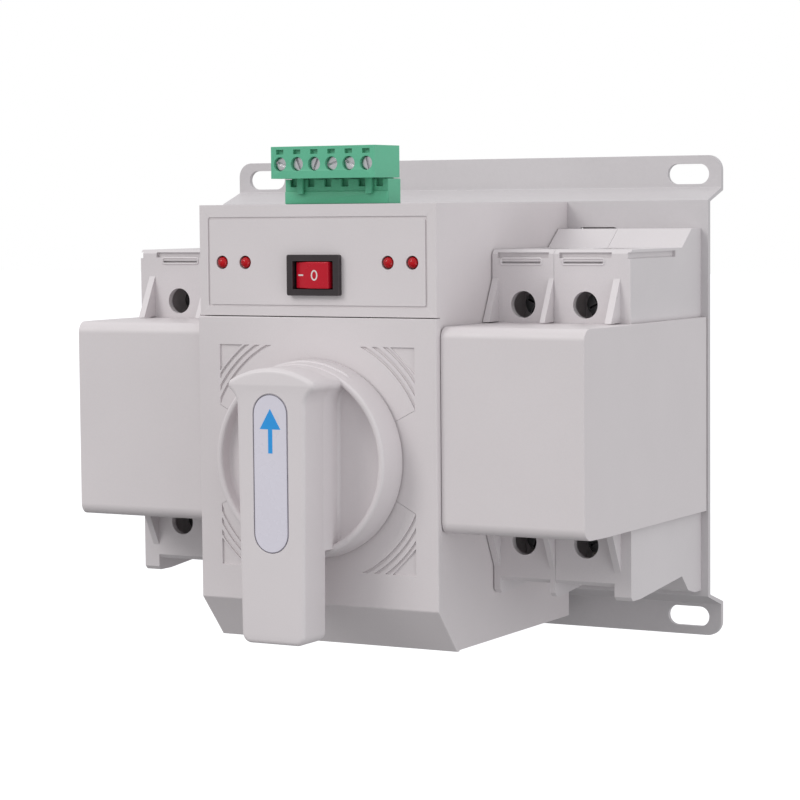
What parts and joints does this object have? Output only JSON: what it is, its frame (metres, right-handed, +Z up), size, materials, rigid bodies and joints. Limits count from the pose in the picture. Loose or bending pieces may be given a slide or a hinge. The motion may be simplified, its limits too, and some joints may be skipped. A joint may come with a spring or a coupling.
{
  "type": "transfer switch",
  "caption": "Wall-plate transfer switch: middle housing with turning handle, gear train, motor, lamps and rocker, between two covered switching modules.",
  "frame": {"origin": "centre of the four wall slots, on the back face of the wall plate", "axes": "+Z up as mounted, +X to the right seen from the front, -Y out of the wall towards the user"},
  "size_m": [0.152, 0.1101, 0.1325],
  "materials": {
    "plate_paint": "pale grey semi-matt stove paint on pressed steel",
    "housing_plastic": "fine-grained warm light grey moulded plastic",
    "handle_plastic": "satin light grey moulded plastic",
    "case_plastic": "satin pale grey thermoset",
    "bronze": "sintered bronze",
    "zinc_steel": "bright zinc-plated steel",
    "dark_steel": "dark phosphated steel",
    "black_plastic": "black moulded plastic",
    "board_green": "solder-masked glass-fibre board",
    "relay_blue": "sealed relay case",
    "lamp_red": "red diffused lamp resin",
    "rocker_red": "glossy red moulded plastic",
    "terminal_green": "satin green moulded plastic",
    "tinned_brass": "tinned brass",
    "copper": "bare copper",
    "label_film": "printed polyester label",
    "gear_nylon": "natural moulded nylon"
  },
  "bodies": {
    "base": {"base_plate": "plate_paint", "housing": "housing_plastic", "front_cover": "housing_plastic", "shaft_bush": "bronze", "front_gear_plate": "zinc_steel", "rear_gear_plate": "zinc_steel", "frame_posts": "zinc_steel", "post_screws": "dark_steel", "plate_bushes": "bronze", "gear_motor": "dark_steel", "motor_screws": "zinc_steel", "idler_pin": "zinc_steel", "arm_pivot_pins": "zinc_steel", "pivot_clips": "dark_steel", "position_sensors": "black_plastic", "control_board": "board_green", "board_relays": "relay_blue", "indicator_board": "board_green", "indicator_leds": "lamp_red", "rocker_body": "black_plastic", "terminal_header": "terminal_green", "header_pins": "tinned_brass", "left_inner_case": "case_plastic", "left_outer_case": "case_plastic", "right_inner_case": "case_plastic", "right_outer_case": "case_plastic", "pole_partitions": "case_plastic", "case_rivets": "zinc_steel", "left_terminal_clamps": "tinned_brass", "right_terminal_clamps": "tinned_brass", "terminal_screws": "dark_steel", "toggle_pins": "zinc_steel", "fixed_contacts": "copper", "left_cover": "housing_plastic", "right_cover": "housing_plastic", "breaker_screws": "zinc_steel", "housing_screws": "zinc_steel"},
    "handle_shaft": {"handle": "handle_plastic", "handle_label": "label_film", "handle_screw": "zinc_steel", "main_shaft": "zinc_steel", "drive_pinion": "bronze", "main_gear": "gear_nylon", "flag_disc": "black_plastic", "shaft_clip": "dark_steel"},
    "left_arm": {"left_drive_arm": "gear_nylon"},
    "right_arm": {"right_drive_arm": "gear_nylon"},
    "left_toggle": {"left_toggles": "black_plastic", "left_tie_bar": "zinc_steel"},
    "right_toggle": {"right_toggles": "black_plastic", "right_tie_bar": "zinc_steel"},
    "left_contact_lever": {"left_contact_arms": "copper"},
    "right_contact_lever": {"right_contact_arms": "copper"},
    "idler": {"idler_gear": "gear_nylon"},
    "motor_rotor": {"motor_pinion": "zinc_steel"},
    "rocker": {"rocker_key": "rocker_red"},
    "plug": {"terminal_plug": "terminal_green", "plug_screws": "zinc_steel", "plug_clamps": "tinned_brass"}
  },
  "joints": [
    {"name": "handle_turn", "type": "hinge", "parent": "base", "child": "handle_shaft", "pos_m": [0, -0.08, -0.012], "axis": [0, 1, 0], "range_deg": [-45, 45]},
    {"name": "right_arm_swing", "type": "hinge", "parent": "base", "child": "right_arm", "pos_m": [0.02474, -0.08, -0.004], "axis": [0, 1, 0], "range_deg": [-24, 24]},
    {"name": "left_arm_swing", "type": "hinge", "parent": "base", "child": "left_arm", "pos_m": [-0.02474, -0.08, -0.004], "axis": [0, 1, 0], "range_deg": [-24, 24]},
    {"name": "right_toggle_swing", "type": "hinge", "parent": "base", "child": "right_toggle", "pos_m": [0.0545, -0.062, -0.004], "axis": [1, 0, 0], "range_deg": [-23.4, 23.4]},
    {"name": "left_toggle_swing", "type": "hinge", "parent": "base", "child": "left_toggle", "pos_m": [-0.0545, -0.062, -0.004], "axis": [1, 0, 0], "range_deg": [-23.4, 23.4]},
    {"name": "right_contact_swing", "type": "hinge", "parent": "base", "child": "right_contact_lever", "pos_m": [0.0545, -0.038, -0.004], "axis": [1, 0, 0], "range_deg": [-12.2, 12.2]},
    {"name": "left_contact_swing", "type": "hinge", "parent": "base", "child": "left_contact_lever", "pos_m": [-0.0545, -0.038, -0.004], "axis": [1, 0, 0], "range_deg": [-12.2, 12.2]},
    {"name": "idler_turn", "type": "hinge", "parent": "base", "child": "idler", "pos_m": [0, -0.064, 0.016], "axis": [0, 1, 0], "range_deg": [-166, 166]},
    {"name": "motor_turn", "type": "hinge", "parent": "base", "child": "motor_rotor", "pos_m": [0.01966, -0.06, 0.02977], "axis": [0, 1, 0], "range_deg": [-496, 496]},
    {"name": "rocker_rock", "type": "hinge", "parent": "base", "child": "rocker", "pos_m": [0, -0.086, 0.0347], "axis": [0, 0, 1], "range_deg": [0, 20]},
    {"name": "plug_pull", "type": "slide", "parent": "base", "child": "plug", "axis": [0, 0, 1], "range_m": [0, 0.012]}
  ],
  "couplings": [
    {"joint": "right_arm_swing", "follows": "handle_turn", "ratio": -0.52941},
    {"joint": "left_arm_swing", "follows": "handle_turn", "ratio": -0.52941},
    {"joint": "right_toggle_swing", "follows": "handle_turn", "ratio": -0.5133},
    {"joint": "left_toggle_swing", "follows": "handle_turn", "ratio": 0.5133},
    {"joint": "right_contact_swing", "follows": "handle_turn", "ratio": 0.26667},
    {"joint": "left_contact_swing", "follows": "handle_turn", "ratio": -0.26667},
    {"joint": "idler_turn", "follows": "handle_turn", "ratio": -3.6667},
    {"joint": "motor_turn", "follows": "handle_turn", "ratio": 11}
  ]
}
